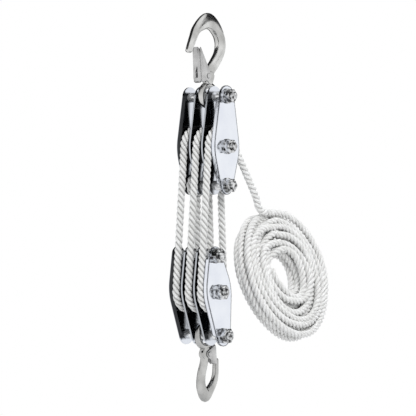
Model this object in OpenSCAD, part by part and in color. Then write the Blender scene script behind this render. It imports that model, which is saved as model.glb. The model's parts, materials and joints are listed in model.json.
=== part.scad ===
// Rope hoist: two blocks of three sheaves, a hook with a latch on each, reeved with one rope.
// Frame: +Z up, X along the sheave axles (nuts at +X), origin at the seat in the top hook's bowl.

/* [Rope] */
// Diameter of the rope
rope_d = 10; // [9:0.5:10.5]
// Space kept between a rope and the pieces beside it
rope_clear = 0.3; // [0.2:0.1:0.5]

/* [Sheaves] */
// Radius at the bottom of the groove under the rope
groove_r = 19; // [17:0.5:19.5]
// Diameter over the sheave's rims
sheave_d = 43.4; // [41:0.2:43.6]
// Width over the sheave's rims
sheave_w = 16; // [14:0.5:16.5]
// Diameter of the hub at the middle of a sheave
hub_d = 23; // [21:0.5:24]
// Depth of the ring recessed in each side of a sheave
recess_depth = 3; // [1:0.5:4]
// Outside diameter of the bush that a sheave turns on
bush_d = 16; // [14:0.5:17]
// Space all round between a sheave and its bush
running_gap = 0.05; // [0.03:0.01:0.08]

/* [Plates] */
// Thickness of the plates
plate_t = 2.5; // [2:0.1:2.8]
// Inside width of one channel between two plates
channel_w = 18.5; // [17.5:0.5:20]
// Half the width of the upper block's plates
upper_half_w = 25; // [24.7:0.1:28]
// Half the width of the lower block's plates
lower_half_w = 24.6; // [24.6:0.1:27]
// Radius of the plates' ends at the hook bolt
hook_end_r = 14; // [12:0.5:15]
// Radius of the plates' ends at the rope-end bolt
rope_end_r = 12; // [11:0.5:13]
// Radius of the curve at the plates' widest part
bulge_r = 60; // [45:5:80]

/* [Blocks] */
// From the top hook's bowl seat down to the bolt that its eye hangs on
top_hook_drop = 93; // [88:1:98]
// From the upper block's axle up to its hook bolt
upper_hook_reach = 66; // [60:1:70]
// From the upper block's axle down to its rope-end bolt
upper_rope_reach = 51; // [46:1:53]
// From the lower block's axle up to its rope-end bolt
lower_rope_reach = 48; // [46:1:53]
// From the lower block's axle down to its hook bolt
lower_hook_reach = 58; // [55:1:66]
// Height between the two axles
axle_drop = 190; // [186:1:230]
// How far the lower block hangs towards the front of the upper one
axle_shift = 16; // [10:1:18]
// Lean of the lower block, its hook end to the back
lower_lean = 9; // [4:0.5:10]

/* [Fasteners] */
// Diameter of the bolts
bolt_d = 10; // [8:0.5:10.5]
// Space all round between a bolt and what it passes through
bolt_clear = 0.15; // [0.1:0.05:0.3]
// Size across the flats of nuts and bolt heads
nut_af = 17; // [15:0.5:18]
// Height of a nut
nut_h = 8; // [6:0.5:9]
// Height of a bolt's head
head_h = 6.4; // [5:0.2:8]
// Length of bolt that shows past its nut
bolt_past_nut = 2; // [1:0.5:5]
// Diameter of the washers
washer_d = 20; // [18:0.5:21]
// Thickness of the washers
washer_t = 1.8; // [1.2:0.2:2.4]
// Diameter of the spacer sleeves between the plates
sleeve_d = 13; // [12:0.5:13.5]

/* [Hooks] */
// Hole in the eye of a hook
eye_d = 18; // [16:0.5:20]
// Thickness of the eye's ring
eye_wire = 9; // [8:0.5:10]
// Thickness of the top hook at its crown
crown_t = 13; // [11:0.5:14]
// Size of the bottom hook's bow against the top hook's
bottom_hook_k = 0.77; // [0.7:0.01:0.85]

/* [Latches] */
// Diameter of the pin that a latch turns on
latch_pin_d = 4; // [3:0.2:5]
// Thickness of a latch's sheet
latch_t = 1.2; // [0.8:0.1:1.5]
// Space between a latch and the hook's sides
latch_clear = 0.35; // [0.3:0.05:0.6]
// Size across the lobe of a latch round its pin
latch_ear_d = 11; // [9.5:0.5:12]
// Diameter of the pin's heads
latch_head_d = 7; // [6.5:0.5:9]

/* [Coil] */
// Radius over the coil of spare rope
coil_r = 90; // [84:1:92]
// Radius of the hole through the coil
coil_hole_r = 28; // [24:1:34]
// Width of the coil along its axis
coil_w = 30; // [26:1:32]
// Lean of the coil, its top to the left
coil_lean = 18; // [14:1:22]
// Turn of the coil about the vertical
coil_turn = 4.6; // [0:0.2:8]

/* [Hidden] */
$fn = 64;
hex_fn = 6;
tube_sides = 12;
bow_sides = 16;
bow_steps = 4;
end_steps = 12;
bulge_steps = 8;
rope_r = rope_d / 2;
rope_pitch_r = groove_r + rope_r;
groove_arc_r = rope_r + rope_clear;
sheave_r = sheave_d / 2;
hub_r = hub_d / 2;
rim_wall = 3;
rim_chamfer = 0.8;
pitch = channel_w + plate_t;
stack_half = 1.5 * pitch + plate_t / 2;
flange_h = channel_w / 2 - rope_r - rope_clear;
flange_end = 2;
face_gap = 0.1;
sleeve_r = sleeve_d / 2;
hole_r = bolt_d / 2 + bolt_clear;
nut_past_plate = washer_t + nut_h;
edge_chamfer = 1;

// Places of the axles and bolts, as [y, z]
upper_hook_bolt_z = -top_hook_drop;
upper_axle = [0, upper_hook_bolt_z - upper_hook_reach];
lower_axle = [-axle_shift, upper_axle[1] - axle_drop];
lower_hook_bolt_at = lower_axle + lower_hook_reach * [sin(lower_lean), -cos(lower_lean)];
dead_end_at = upper_axle - [0, upper_rope_reach];

// The runs of rope between the blocks
run_tilt = atan2(axle_shift, axle_drop);
haul_deg = 36;
dead_eye_r = sleeve_r + rope_clear + rope_r;
splice_l = 28;
splice_r = rope_r + 1;
run_gap = rope_clear + rope_r * pitch / axle_drop;
dead_to_lower = dead_end_at - lower_axle;
dead_deg = atan2(dead_to_lower[1], dead_to_lower[0]) - acos(rope_pitch_r / norm(dead_to_lower));

// The bow of a hook: [y, z above the hook bolt, width in the plane, thickness], eye to tip
eye_r = eye_d / 2 + eye_wire / 2;
eye_z = eye_d / 2 - sleeve_r - rope_clear;
bow_base = eye_z + eye_r + eye_wire / 2;
bow_seat = 73;
top_hook_k = (top_hook_drop - bow_base) / bow_seat;
bow_narrow = 0.16;
bow_square = 0.78;
bow_start = [0, -7, 10, 8];
bow_stations = [
    [0, 0, 15, 10.5],
    [6, 14, 13.5, 10.5],
    [16, 30, 13, 11],
    [24, 42, 12.5, 11.5],
    [26.5, 53, 12.5, 12],
    [23.5, 65, 14.5, crown_t - 0.5],
    [14, 77, 17, crown_t],
    [0, 82, 18, crown_t],
    [-14, 77, 16, crown_t - 1],
    [-24, 65, 12, crown_t - 2],
    [-29.5, 52, 9, crown_t - 3],
    [-32.5, 41, 7, 9],
    [-34.5, 36, 5, 8]
];
latch_pivot = [-6, 7];
latch_point = [-25, 38];
latch_boss_d = 9;
latch_tip_w = 7;
latch_web_off = 2.4;
neck_t = 10.5;

// The coil of spare rope, and the line that runs down to it
coil_at = [28.5, 120, -330];
coil_round = 5;
haul_route = [
    [21, 19.7, -145.3],
    [21, 36, -167.5],
    [20.5, 52, -189.5],
    [19.5, 67, -209.5],
    [18, 79, -225],
    [15, 92.5, -242]
];

// Helpers: a closed outline round circles [x, y, r] taken counter-clockwise
function leave_deg(a, b) =
    atan2(b[1] - a[1], b[0] - a[0]) - acos((a[2] - b[2]) / norm([b[0] - a[0], b[1] - a[1]]));
function wrap_deg(a) = ((a % 360) + 360) % 360;
function arc_points(c, from, sweep, n) =
    [for (i = [0:n]) [c[0] + c[2] * cos(from + sweep * i / n), c[1] + c[2] * sin(from + sweep * i / n)]];
function wrapped(cs) = [
    for (i = [0:len(cs) - 1])
        let (
            before = cs[(i + len(cs) - 1) % len(cs)],
            here = cs[i],
            after = cs[(i + 1) % len(cs)],
            from = leave_deg(before, here),
            sweep = wrap_deg(leave_deg(here, after) - from)
        )
        each arc_points(here, from, sweep, here[2] > bulge_steps * 4 ? bulge_steps : end_steps)
];

// A plate's outline, drawn with the hook end up; inset shrinks it evenly
function plate_circles(half_w, hook_reach, rope_reach, inset) = [
    [half_w - bulge_r, 0, bulge_r - inset],
    [0, hook_reach, hook_end_r - inset],
    [bulge_r - half_w, 0, bulge_r - inset],
    [0, -rope_reach, rope_end_r - inset]
];

// Turns a drawing in the XY plane to the YZ plane, rising along +X from x
module across(x) {
    translate([x, 0, 0]) rotate([90, 0, 90]) children();
}

module upper_place() {
    translate([0, upper_axle[0], upper_axle[1]]) children();
}

module lower_place() {
    translate([0, lower_axle[0], lower_axle[1]]) rotate([180 + lower_lean, 0, 0]) children();
}

module plate_outline(half_w, hook_reach, rope_reach, inset) {
    polygon(wrapped(plate_circles(half_w, hook_reach, rope_reach, inset)));
}

module plate(x, half_w, hook_reach, rope_reach) {
    across(x - plate_t / 2) linear_extrude(plate_t) difference() {
        plate_outline(half_w, hook_reach, rope_reach, 0);
        for (z = [hook_reach, 0, -rope_reach]) translate([0, z]) circle(r = hole_r);
    }
}

// The turned-in edges of an outer cheek, which stand along both of its long sides
module flanges(x, half_w, hook_reach, rope_reach) {
    span = hook_reach + rope_reach - 2 * flange_end;
    across(x) linear_extrude(flange_h) intersection() {
        difference() {
            plate_outline(half_w, hook_reach, rope_reach, 0);
            plate_outline(half_w, hook_reach, rope_reach, plate_t);
        }
        translate([-2 * half_w, flange_end - rope_reach]) square([4 * half_w, span]);
    }
}

module cheek(side, half_w, hook_reach, rope_reach) {
    inner = stack_half - plate_t;
    color("gainsboro") union() {
        plate(side * (stack_half - plate_t / 2), half_w, hook_reach, rope_reach);
        flanges(side > 0 ? inner - flange_h : -inner, half_w, hook_reach, rope_reach);
    }
}

module divider(side, half_w, hook_reach, rope_reach) {
    color("silver") plate(side * pitch / 2, half_w, hook_reach, rope_reach);
}

// A hexagon along X with its outer corners turned off, from x to x + h
module hex_block(x, h) {
    corner_r = nut_af / sqrt(3);
    across(x) intersection() {
        cylinder(r = corner_r, h = h, $fn = hex_fn);
        rotate_extrude() polygon([
            [0, 0], [corner_r - edge_chamfer, 0], [corner_r, edge_chamfer / 2],
            [corner_r, h - edge_chamfer / 2], [corner_r - edge_chamfer, h], [0, h]
        ]);
    }
}

module bolt(z) {
    head_x = -stack_half - washer_t - head_h;
    shank_l = 2 * stack_half + washer_t + nut_past_plate + bolt_past_nut;
    shank_r = bolt_d / 2;
    color("lightgray") translate([0, 0, z]) union() {
        hex_block(head_x, head_h);
        across(head_x + head_h) rotate_extrude() polygon([
            [0, -head_h / 2], [shank_r, -head_h / 2], [shank_r, shank_l - edge_chamfer],
            [shank_r - edge_chamfer, shank_l], [0, shank_l]
        ]);
    }
}

module nut(z) {
    color("lightgray") translate([0, 0, z]) difference() {
        hex_block(stack_half + washer_t, nut_h);
        across(stack_half) cylinder(r = hole_r, h = nut_past_plate + bolt_past_nut);
    }
}

module washers(heights) {
    color("silver") for (z = heights, x = [-stack_half - washer_t, stack_half])
        translate([0, 0, z]) across(x) difference() {
            cylinder(d = washer_d, h = washer_t);
            translate([0, 0, -1]) cylinder(r = hole_r, h = washer_t + 2);
        }
}

// One tube in each of the three channels, as long as the channel is wide
module channel_tubes(d, z) {
    color("silver") for (k = [1:3]) translate([0, 0, z])
        across((k - 2) * pitch - channel_w / 2) difference() {
            cylinder(d = d, h = channel_w);
            translate([0, 0, -1]) cylinder(r = hole_r, h = channel_w + 2);
        }
}

module sheave(k) {
    half = sheave_w / 2;
    bore_r = bush_d / 2 + running_gap;
    rim_in = groove_r - rope_clear - rim_wall;
    rim_fall = rope_pitch_r - sheave_r;
    groove_deg = acos(rim_fall / groove_arc_r);
    color("dimgray") translate([(k - 2) * pitch, 0, 0]) rotate([0, 90, 0]) rotate_extrude() polygon([
        [bore_r, -half], [hub_r, -half], [hub_r, recess_depth - half], [rim_in, recess_depth - half],
        [rim_in, -half], [sheave_r - rim_chamfer, -half], [sheave_r, rim_chamfer - half],
        for (i = [0:12])
            let (a = -groove_deg + 2 * groove_deg * i / 12)
            [rope_pitch_r - groove_arc_r * cos(a), groove_arc_r * sin(a)],
        [sheave_r, half - rim_chamfer], [sheave_r - rim_chamfer, half], [rim_in, half],
        [rim_in, half - recess_depth], [hub_r, half - recess_depth], [hub_r, half], [bore_r, half]
    ]);
}

// The forged bow of a hook, swept along its centre line through the stations
function curve_at(s, i, t) =
    let (
        n = len(s) - 1,
        a = s[max(i - 1, 0)],
        b = s[i],
        c = s[min(i + 1, n)],
        d = s[min(i + 2, n)]
    )
    (2 * b + (c - a) * t + (2 * a - 5 * b + 4 * c - d) * t * t + (3 * b - a - 3 * c + d) * t * t * t) / 2;
function swept(s) = concat(
    [for (i = [0:len(s) - 2], j = [0:bow_steps - 1]) curve_at(s, i, j / bow_steps)],
    [s[len(s) - 1]]
);
function signed_pow(v) = sign(v) * pow(abs(v), bow_square);
function bow_ring(p, i) =
    let (
        ahead = p[min(i + 1, len(p) - 1)],
        behind = p[max(i - 1, 0)],
        run = [ahead[0] - behind[0], ahead[1] - behind[1]],
        side = [-run[1], run[0]] / norm(run)
    )
    [
        for (j = [0:bow_sides - 1])
            let (
                a = 360 * j / bow_sides,
                w = p[i][2] / 2 * signed_pow(cos(a)),
                t = p[i][3] / 2 * (1 + bow_narrow * cos(a)) * signed_pow(sin(a))
            )
            [t, p[i][0] + w * side[0], p[i][1] + w * side[1]]
    ];

module swept_solid(rings, sides) {
    last = len(rings) - 1;
    polyhedron(
        points = [for (ring = rings) each ring],
        faces = concat(
            [[for (j = [0:sides - 1]) j]],
            [
                for (i = [0:last - 1], j = [0:sides - 1])
                    let (a = i * sides + j, b = i * sides + (j + 1) % sides)
                    [a, a + sides, b + sides, b]
            ],
            [[for (j = [sides - 1:-1:0]) last * sides + j]]
        )
    );
}

function bow_point(p, k) = [p[0] * k, bow_base + p[1] * k];
function bow_scaled(k) = concat(
    [[bow_start[0], bow_base + bow_start[1], bow_start[2], bow_start[3]]],
    [for (s = bow_stations) [s[0] * k, bow_base + s[1] * k, s[2] * k, s[3] * k]]
);

// A hook with its bolt axis at the origin and its bow above
module hook(k) {
    path = swept(bow_scaled(k));
    pivot = bow_point(latch_pivot, k);
    color("darkgray") difference() {
        union() {
            translate([0, 0, eye_z]) rotate([0, 90, 0]) rotate_extrude()
                translate([eye_r, 0]) circle(d = eye_wire, $fn = 32);
            swept_solid([for (i = [0:len(path) - 1]) bow_ring(path, i)], bow_sides);
            translate([0, pivot[0], pivot[1]]) across(-neck_t * k / 2) cylinder(d = latch_boss_d * k, h = neck_t * k);
        }
        translate([0, pivot[0], pivot[1]]) across(-neck_t) cylinder(d = latch_pin_d + 2 * bolt_clear, h = 2 * neck_t);
    }
}

// A latch folded from sheet: two cheeks beside the hook's neck and a web between them
module latch(k) {
    pivot = bow_point(latch_pivot, k);
    reach = (latch_point - latch_pivot) * k;
    length = norm(reach);
    inner = neck_t * k / 2 + latch_clear;
    ear_r = latch_ear_d / 2;
    lobe = [[0, 0, ear_r], [0, length - latch_tip_w / 2, latch_tip_w / 2]];
    web_from = ear_r + 1.5;
    color("silver") translate([0, pivot[0], pivot[1]]) rotate([-atan2(reach[0], reach[1]), 0, 0]) union() {
        for (x = [-inner - latch_t, inner]) across(x) linear_extrude(latch_t) intersection() {
            difference() {
                polygon(wrapped(lobe));
                circle(r = latch_pin_d / 2 + running_gap);
            }
            translate([-latch_web_off - latch_t, -ear_r]) square([ear_r + latch_web_off + latch_t, 2 * length]);
        }
        translate([-inner - latch_t, -latch_web_off - latch_t, web_from])
            cube([2 * (inner + latch_t), latch_t, length - web_from]);
    }
}

module latch_pin(k) {
    pivot = bow_point(latch_pivot, k);
    grip = neck_t * k / 2 + latch_clear + latch_t + rope_clear;
    head_t = latch_t;
    color("gainsboro") translate([0, pivot[0], pivot[1]]) across(-grip - head_t) rotate_extrude() polygon([
        [0, 0], [latch_head_d / 2 - 0.5, 0], [latch_head_d / 2, head_t / 2], [latch_head_d / 2, head_t],
        [latch_pin_d / 2, head_t], [latch_pin_d / 2, head_t + 2 * grip], [latch_head_d / 2, head_t + 2 * grip],
        [latch_head_d / 2, 1.5 * head_t + 2 * grip], [latch_head_d / 2 - 0.5, 2 * head_t + 2 * grip],
        [0, 2 * head_t + 2 * grip]
    ]);
}

module top_place() {
    translate([0, 0, upper_hook_bolt_z]) children();
}

module bottom_place() {
    translate([0, lower_hook_bolt_at[0], lower_hook_bolt_at[1]]) rotate([180, 0, 0]) children();
}

// Rope round a sheave at [y, z], from one angle to another as +Y turns to +Z
module wrap(k, at, from, to, r) {
    translate([(k - 2) * pitch, at[0], at[1]]) rotate([90, 0, 90])
        rotate([0, 0, from]) rotate_extrude(angle = to - from) translate([r, 0]) circle(r = rope_r, $fn = 32);
}

function rim_point(k, at, a) =
    [(k - 2) * pitch, at[0] + rope_pitch_r * cos(a), at[1] + rope_pitch_r * sin(a)];

module straight_rope(from, to, r, gap) {
    v = to - from;
    translate(from) rotate([0, acos(v[2] / norm(v)), atan2(v[1], v[0])])
        translate([0, 0, gap]) cylinder(r = r, h = norm(v) - 2 * gap, $fn = 32);
}

module top_hook() { top_place() hook(top_hook_k); }
module top_latch() { top_place() latch(top_hook_k); }
module top_latch_pin() { top_place() latch_pin(top_hook_k); }
module bottom_hook() { bottom_place() hook(bottom_hook_k); }
module bottom_latch() { bottom_place() latch(bottom_hook_k); }
module bottom_latch_pin() { bottom_place() latch_pin(bottom_hook_k); }

module upper_cheek_left() { upper_place() cheek(-1, upper_half_w, upper_hook_reach, upper_rope_reach); }
module upper_cheek_right() { upper_place() cheek(1, upper_half_w, upper_hook_reach, upper_rope_reach); }
module upper_divider_left() { upper_place() divider(-1, upper_half_w, upper_hook_reach, upper_rope_reach); }
module upper_divider_right() { upper_place() divider(1, upper_half_w, upper_hook_reach, upper_rope_reach); }
module upper_hook_bolt() { upper_place() bolt(upper_hook_reach); }
module upper_axle_bolt() { upper_place() bolt(0); }
module upper_rope_bolt() { upper_place() bolt(-upper_rope_reach); }
module upper_hook_nut() { upper_place() nut(upper_hook_reach); }
module upper_axle_nut() { upper_place() nut(0); }
module upper_rope_nut() { upper_place() nut(-upper_rope_reach); }
module upper_washers() { upper_place() washers([upper_hook_reach, 0, -upper_rope_reach]); }
module upper_hook_sleeves() { upper_place() channel_tubes(sleeve_d, upper_hook_reach); }
module upper_rope_sleeves() { upper_place() channel_tubes(sleeve_d, -upper_rope_reach); }
module upper_bushes() { upper_place() channel_tubes(bush_d, 0); }
module upper_sheave_1() { upper_place() sheave(1); }
module upper_sheave_2() { upper_place() sheave(2); }
module upper_sheave_3() { upper_place() sheave(3); }

module lower_cheek_left() { lower_place() cheek(-1, lower_half_w, lower_hook_reach, lower_rope_reach); }
module lower_cheek_right() { lower_place() cheek(1, lower_half_w, lower_hook_reach, lower_rope_reach); }
module lower_divider_left() { lower_place() divider(-1, lower_half_w, lower_hook_reach, lower_rope_reach); }
module lower_divider_right() { lower_place() divider(1, lower_half_w, lower_hook_reach, lower_rope_reach); }
module lower_hook_bolt() { lower_place() bolt(lower_hook_reach); }
module lower_axle_bolt() { lower_place() bolt(0); }
module lower_rope_bolt() { lower_place() bolt(-lower_rope_reach); }
module lower_hook_nut() { lower_place() nut(lower_hook_reach); }
module lower_axle_nut() { lower_place() nut(0); }
module lower_rope_nut() { lower_place() nut(-lower_rope_reach); }
module lower_washers() { lower_place() washers([lower_hook_reach, 0, -lower_rope_reach]); }
module lower_hook_sleeves() { lower_place() channel_tubes(sleeve_d, lower_hook_reach); }
module lower_rope_sleeves() { lower_place() channel_tubes(sleeve_d, -lower_rope_reach); }
module lower_bushes() { lower_place() channel_tubes(bush_d, 0); }
module lower_sheave_1() { lower_place() sheave(1); }
module lower_sheave_2() { lower_place() sheave(2); }
module lower_sheave_3() { lower_place() sheave(3); }

// The rope over the upper sheaves; the third one lets the haul line off at the back
module upper_rope_wraps() {
    color("white") {
        for (k = [1, 2]) wrap(k, upper_axle, -run_tilt, 180 - run_tilt, rope_pitch_r);
        wrap(3, upper_axle, haul_deg, 180 - run_tilt, rope_pitch_r);
    }
}

// The rope under the lower sheaves; the first one sends it up to the dead end
module lower_rope_wraps() {
    color("white") {
        for (k = [2, 3]) wrap(k, lower_axle, 180 - run_tilt, 360 - run_tilt, rope_pitch_r);
        wrap(1, lower_axle, 180 - run_tilt, 360 + dead_deg, rope_pitch_r);
    }
}

// Straight runs: three in front, two slanting one channel over at the back, one to the dead end
module rope_runs() {
    front = 180 - run_tilt;
    dead_from = rim_point(1, lower_axle, dead_deg);
    dead_to = [-pitch, dead_end_at[0], dead_end_at[1]];
    dead_dir = (dead_to - dead_from) / norm(dead_to - dead_from);
    color("white") {
        for (k = [1:3]) straight_rope(rim_point(k, lower_axle, front), rim_point(k, upper_axle, front), rope_r, run_gap);
        for (k = [2, 3])
            straight_rope(rim_point(k, lower_axle, -run_tilt), rim_point(k - 1, upper_axle, -run_tilt), rope_r, run_gap);
        straight_rope(dead_from, dead_to - dead_dir * (dead_eye_r + rope_r + splice_l - run_gap), rope_r, run_gap);
    }
}

// The eye spliced in the rope's end, round the upper block's rope-end sleeve
module rope_dead_end() {
    dead_from = rim_point(1, lower_axle, dead_deg);
    dead_to = [-pitch, dead_end_at[0], dead_end_at[1]];
    dead_dir = (dead_to - dead_from) / norm(dead_to - dead_from);
    color("white") union() {
        wrap(1, dead_end_at, 0, 360, dead_eye_r);
        straight_rope(dead_to - dead_dir * (dead_eye_r + rope_r + splice_l), dead_to - dead_dir * dead_eye_r, splice_r, 0);
    }
}

// The hauling part, from the third upper sheave down to the coil
function tube_ring(p, i) =
    let (
        run = p[min(i + 1, len(p) - 1)] - p[max(i - 1, 0)],
        dir = run / norm(run),
        side = cross(dir, [1, 0, 0]) / norm(cross(dir, [1, 0, 0])),
        up = cross(side, dir)
    )
    [for (j = [0:tube_sides - 1]) p[i] + rope_r * (cos(360 * j / tube_sides) * side + sin(360 * j / tube_sides) * up)];

module haul_line() {
    path = swept(haul_route);
    color("white") swept_solid([for (i = [0:len(path) - 1]) tube_ring(path, i)], tube_sides);
}

module rope_coil() {
    middle = (coil_r + coil_hole_r) / 2;
    span = coil_r - middle - coil_round;
    rise = coil_w / 2 - coil_round;
    color("whitesmoke") translate(coil_at) rotate([0, 0, coil_turn]) rotate([0, 90 - coil_lean, 0])
        rotate_extrude($fn = 96) polygon([
            for (q = [0:3])
                let (sx = q == 0 || q == 3 ? 1 : -1, sy = q < 2 ? 1 : -1)
                for (i = [0:4])
                    let (a = 90 * q + 90 * i / 4)
                    [middle + sx * span + coil_round * cos(a), sy * rise + coil_round * sin(a)]
        ]);
}

top_hook();
top_latch();
top_latch_pin();
upper_cheek_left();
upper_cheek_right();
upper_divider_left();
upper_divider_right();
upper_hook_bolt();
upper_axle_bolt();
upper_rope_bolt();
upper_hook_nut();
upper_axle_nut();
upper_rope_nut();
upper_washers();
upper_hook_sleeves();
upper_rope_sleeves();
upper_bushes();
upper_sheave_1();
upper_sheave_2();
upper_sheave_3();
lower_cheek_left();
lower_cheek_right();
lower_divider_left();
lower_divider_right();
lower_hook_bolt();
lower_axle_bolt();
lower_rope_bolt();
lower_hook_nut();
lower_axle_nut();
lower_rope_nut();
lower_washers();
lower_hook_sleeves();
lower_rope_sleeves();
lower_bushes();
lower_sheave_1();
lower_sheave_2();
lower_sheave_3();
bottom_hook();
bottom_latch();
bottom_latch_pin();
upper_rope_wraps();
lower_rope_wraps();
rope_runs();
rope_dead_end();
haul_line();
rope_coil();
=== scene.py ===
"""Looks of the rope hoist: laid rope, plated plates and fasteners, forged hooks, on a plain pale stage."""
import json
import math

import bpy
import numpy as np
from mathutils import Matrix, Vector


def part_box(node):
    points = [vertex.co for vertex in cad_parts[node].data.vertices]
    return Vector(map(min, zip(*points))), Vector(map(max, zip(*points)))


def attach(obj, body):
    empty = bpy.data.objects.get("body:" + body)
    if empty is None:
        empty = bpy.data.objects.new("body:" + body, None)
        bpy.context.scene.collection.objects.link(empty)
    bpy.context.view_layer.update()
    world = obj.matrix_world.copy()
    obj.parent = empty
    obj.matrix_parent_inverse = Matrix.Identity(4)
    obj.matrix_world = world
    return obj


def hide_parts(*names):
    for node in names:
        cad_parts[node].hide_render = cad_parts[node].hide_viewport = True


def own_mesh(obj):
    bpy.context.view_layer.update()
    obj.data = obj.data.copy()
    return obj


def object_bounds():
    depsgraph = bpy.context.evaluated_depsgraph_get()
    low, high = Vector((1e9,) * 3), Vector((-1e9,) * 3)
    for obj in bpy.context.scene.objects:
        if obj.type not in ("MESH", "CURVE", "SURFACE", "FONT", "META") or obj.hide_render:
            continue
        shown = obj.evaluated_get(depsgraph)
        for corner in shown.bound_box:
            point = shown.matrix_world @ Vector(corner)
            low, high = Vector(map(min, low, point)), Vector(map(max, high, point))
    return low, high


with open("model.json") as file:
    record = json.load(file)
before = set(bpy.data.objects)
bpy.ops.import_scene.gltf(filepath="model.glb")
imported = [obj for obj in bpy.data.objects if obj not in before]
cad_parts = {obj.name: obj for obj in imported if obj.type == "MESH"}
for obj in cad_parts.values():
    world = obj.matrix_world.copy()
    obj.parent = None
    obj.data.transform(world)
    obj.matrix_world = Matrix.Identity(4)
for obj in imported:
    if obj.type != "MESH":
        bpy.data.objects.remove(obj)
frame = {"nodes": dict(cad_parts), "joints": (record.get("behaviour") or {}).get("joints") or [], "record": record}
CAD_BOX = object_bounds()
JOINTS = {j["name"]: j for j in frame["joints"]}

# ---------------------------------------------------------------- camera and image points
W, H = 416, 416
L = max(W, H)
POINTS = {
    "left_edge": (171.4, 300.0),
    "right_edge": (240.4, 150.0),
    "top_edge": (206.5, 12.4),
    "bottom_edge": (205.0, 401.0),
    "upper_hook_nut": (229.0, 96.0),
    "upper_axle_nut": (229.0, 146.2),
    "upper_rope_nut": (229.0, 184.7),
    "lower_rope_nut": (217.9, 254.5),
    "lower_axle_nut": (221.0, 290.3),
    "lower_hook_nut": (226.3, 333.4),
    "top_hook_tip": (188.0, 53.0),
    "bottom_hook_tip": (218.9, 359.4),
    "top_latch_top": (201.0, 47.0),
    "top_latch_foot": (193.5, 83.0),
    "bottom_hook_side": (194.6, 380.0),
}
CAM_AZIMUTH = 40.0
CAM_ELEVATION = 0.0
CAM_DISTANCE = 2.5
CAM_TARGET = Vector((0.0, 0.0, -0.2395))
CAM_LENS = 163.9
CAM_SENSOR = 36.0
CAM_SHIFT = (0.0, 0.0)
CAM_CLIP = (0.1, 20.0)


def make_camera():
    a, e = math.radians(CAM_AZIMUTH), math.radians(CAM_ELEVATION)
    back = Vector((math.sin(a) * math.cos(e), -math.cos(a) * math.cos(e), math.sin(e)))
    data = bpy.data.cameras.new("camera")
    data.lens, data.sensor_width, data.sensor_fit = CAM_LENS, CAM_SENSOR, "AUTO"
    data.shift_x, data.shift_y = CAM_SHIFT
    data.clip_start, data.clip_end = CAM_CLIP
    cam = bpy.data.objects.new("camera", data)
    cam.location = CAM_TARGET + back * CAM_DISTANCE
    cam.rotation_mode = "QUATERNION"
    cam.rotation_quaternion = (-back).to_track_quat("-Z", "Y")
    bpy.context.scene.collection.objects.link(cam)
    bpy.context.scene.camera = cam
    bpy.context.view_layer.update()
    return cam


CAMERA = make_camera()


def to_image(p):
    """The image x, y at which a point of the frame shows."""
    q = CAMERA.matrix_world.inverted() @ Vector(p)
    k = L * CAM_LENS / CAM_SENSOR / -q.z
    return q.x * k + W / 2 - CAM_SHIFT[0] * L, H / 2 - q.y * k + CAM_SHIFT[1] * L


# ---------------------------------------------------------------- meshes and curves
def new_mesh(name, verts, faces, flat=()):
    """An object with these vertices and faces, shaded smooth apart from the faces numbered in flat."""
    me = bpy.data.meshes.new(name)
    me.from_pydata([tuple(v) for v in verts], [], faces)
    me.polygons.foreach_set("use_smooth", [i not in flat for i in range(len(me.polygons))])
    o = bpy.data.objects.new(name, me)
    bpy.context.scene.collection.objects.link(o)
    return o


def band(rings, n):
    """Faces between neighbouring rings of n points each."""
    faces = []
    for i in range(rings - 1):
        for j in range(n):
            a, b = i * n + j, i * n + (j + 1) % n
            faces.append((a, b, b + n, a + n))
    return faces


def ringed(name, rings, flat_sides):
    """A closed solid through rings of equal count, with flat ends."""
    n = len(rings[0])
    ends = [tuple(reversed(range(n))), tuple(range((len(rings) - 1) * n, len(rings) * n))]
    faces = ends + band(len(rings), n)
    flat = range(len(faces)) if flat_sides else range(len(ends))
    return new_mesh(name, [v for ring in rings for v in ring], faces, flat)


def join(name, pieces):
    """One object from several."""
    with bpy.context.temp_override(
        active_object=pieces[0], selected_editable_objects=pieces, selected_objects=pieces, object=pieces[0],
    ):
        bpy.ops.object.join()
    pieces[0].name = name
    return pieces[0]


def smooth(points, steps):
    """A Catmull-Rom curve through the points, which are vectors or arrays."""
    out = []
    for i in range(len(points) - 1):
        a, b = points[max(i - 1, 0)], points[i]
        c, d = points[i + 1], points[min(i + 2, len(points) - 1)]
        for j in range(steps):
            t = j / steps
            square = (2 * a - 5 * b + 4 * c - d) * t * t
            out.append((2 * b + (c - a) * t + square + (3 * b - a - 3 * c + d) * t ** 3) / 2)
    return out + [points[-1]]


# ---------------------------------------------------------------- rope route
ROPE_D = 0.010
ROPE_R = ROPE_D / 2
# Distance between the points of the rope's centre line, in metres as all of the rope is
STEP = 0.0018
# Radius and points of the eye at the dead end, and the length of its splice
EYE_R = 0.0118
EYE_STEPS = 40
SPLICE = 0.028
# The hauling part's route as in the CAD source, the angle at which it leaves its sheave, and how many points
# its curve has from one of the route's to the next
HAUL_ROUTE = [
    (0.021, 0.0197, -0.1453), (0.021, 0.036, -0.1675), (0.0205, 0.052, -0.1895),
    (0.0195, 0.067, -0.2095), (0.018, 0.079, -0.225), (0.015, 0.0925, -0.242),
]
HAUL_ANGLE = math.radians(36)
HAUL_STEPS = 14
# The coil lies at its CAD solid, turned 2 degrees and moved 3.5 mm from it to lie nearer the photo's
COIL_AT = Vector((0.0285, 0.1235, -0.3305))
COIL_LEAN = math.radians(18)
COIL_TURN = math.radians(2.6)
COIL_OUT = 0.086
COIL_IN = 0.033
COIL_LAYERS = 6
COIL_ROWS = (0.0098, 0.0, -0.0098)
COIL_STEPS = 60
# How much of the innermost turn is there, and the part of a turn in which the rope crosses to the next
LAST_TURN = 0.8
CROSS_FROM, CROSS_OVER = 0.82, 0.18
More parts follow.
